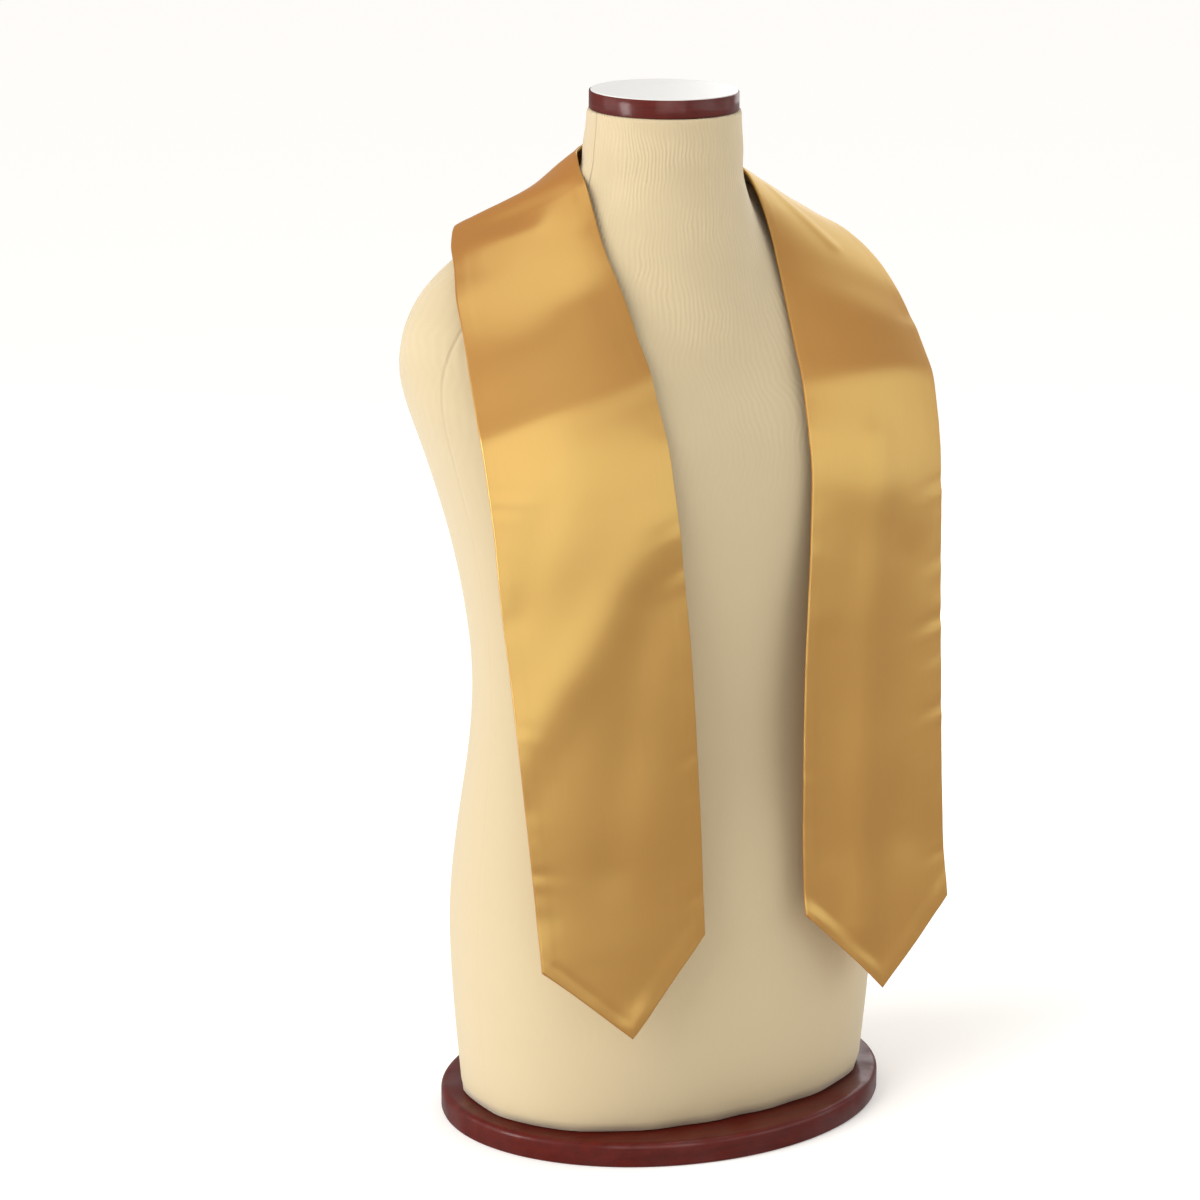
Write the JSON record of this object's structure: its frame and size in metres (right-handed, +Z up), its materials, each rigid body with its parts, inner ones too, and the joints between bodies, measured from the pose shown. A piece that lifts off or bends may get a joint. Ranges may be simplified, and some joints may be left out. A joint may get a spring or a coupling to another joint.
{
  "type": "graduation stole on a dress form",
  "caption": "Plain satin graduation stole with pointed ends, worn over the shoulders of a limbless jersey-covered table-top dress form with a lacquered neck cap and an oval wooden base plate.",
  "frame": {"origin": "on the surface that the base plate stands on, at the middle of the plate and below the middle of the neck cap", "axes": "+Z up, -Y the way the form faces, +X the wearer's left"},
  "size_m": [0.4358, 0.312, 0.8212],
  "materials": {
    "face_satin": "gold polyester bridal satin, soft lengthwise sheen",
    "lining_satin": "the same satin on the underside",
    "form_jersey": "matt cream ribbed jersey",
    "lacquered_wood": "dark cherry stain under gloss lacquer",
    "cap_top": "smooth white disc"
  },
  "bodies": {
    "root": {"left_face": "face_satin", "right_face": "face_satin", "left_lining": "lining_satin", "right_lining": "lining_satin", "form_body": "form_jersey", "neck_cap_rim": "lacquered_wood", "neck_cap_top": "cap_top", "base_plate": "lacquered_wood"}
  },
  "joints": []
}
